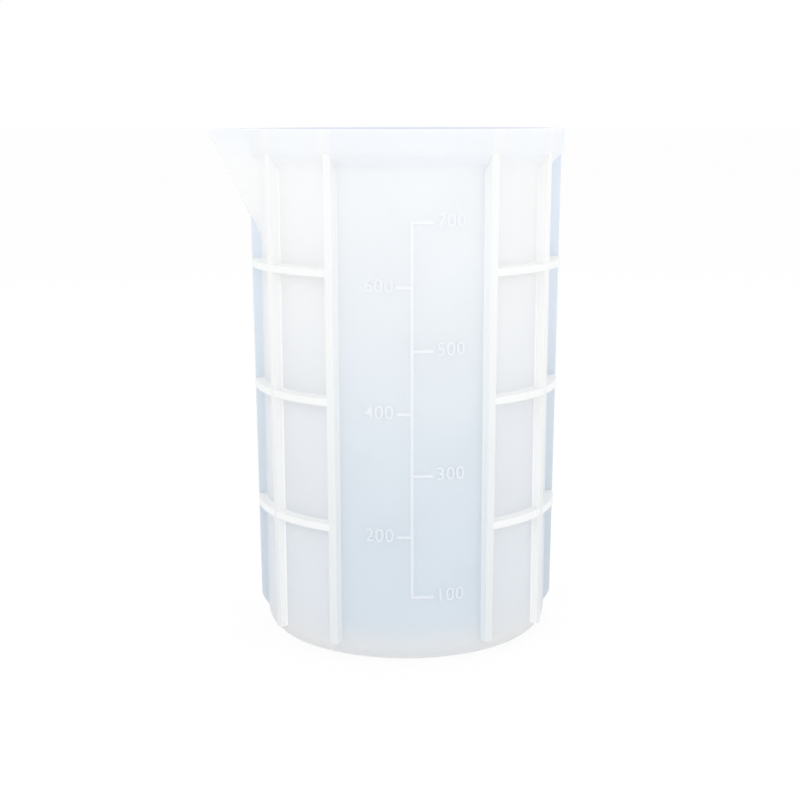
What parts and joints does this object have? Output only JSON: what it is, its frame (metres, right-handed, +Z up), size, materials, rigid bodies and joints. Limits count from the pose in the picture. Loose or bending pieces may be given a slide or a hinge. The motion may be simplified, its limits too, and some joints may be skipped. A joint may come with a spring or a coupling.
{
  "type": "silicone mixing cup",
  "caption": "Tall round translucent silicone measuring cup with a long V-shaped pouring spout, a thick rim, ribbed grip grids on both sides and a raised volume scale in front.",
  "frame": {"origin": "the cup's axis at the table, in the plane of its flat underside", "axes": "+Z up to the rim; the volume scale faces -Y and the pouring spout -X"},
  "size_m": [0.1074, 0.0958, 0.154],
  "materials": {
    "silicone_wall": "soft satin translucent silicone",
    "silicone_rim": "soft satin translucent silicone",
    "silicone_grip": "soft satin translucent silicone",
    "silicone_marks": "soft satin translucent silicone"
  },
  "bodies": {
    "root": {"base": "silicone_wall", "wall": "silicone_wall", "rim_band": "silicone_rim", "pour_spout": "silicone_rim", "rib_left_1": "silicone_grip", "rib_left_2": "silicone_grip", "rib_left_3": "silicone_grip", "rib_left_4": "silicone_grip", "rib_left_5": "silicone_grip", "rib_right_1": "silicone_grip", "rib_right_2": "silicone_grip", "rib_right_3": "silicone_grip", "rib_right_4": "silicone_grip", "rib_right_5": "silicone_grip", "belt_left_low": "silicone_grip", "belt_left_mid": "silicone_grip", "belt_left_top": "silicone_grip", "belt_right_low": "silicone_grip", "belt_right_mid": "silicone_grip", "belt_right_top": "silicone_grip", "scale_line": "silicone_marks", "tick_100": "silicone_marks", "tick_200": "silicone_marks", "tick_300": "silicone_marks", "tick_400": "silicone_marks", "tick_500": "silicone_marks", "tick_600": "silicone_marks", "tick_700": "silicone_marks"}
  },
  "joints": []
}
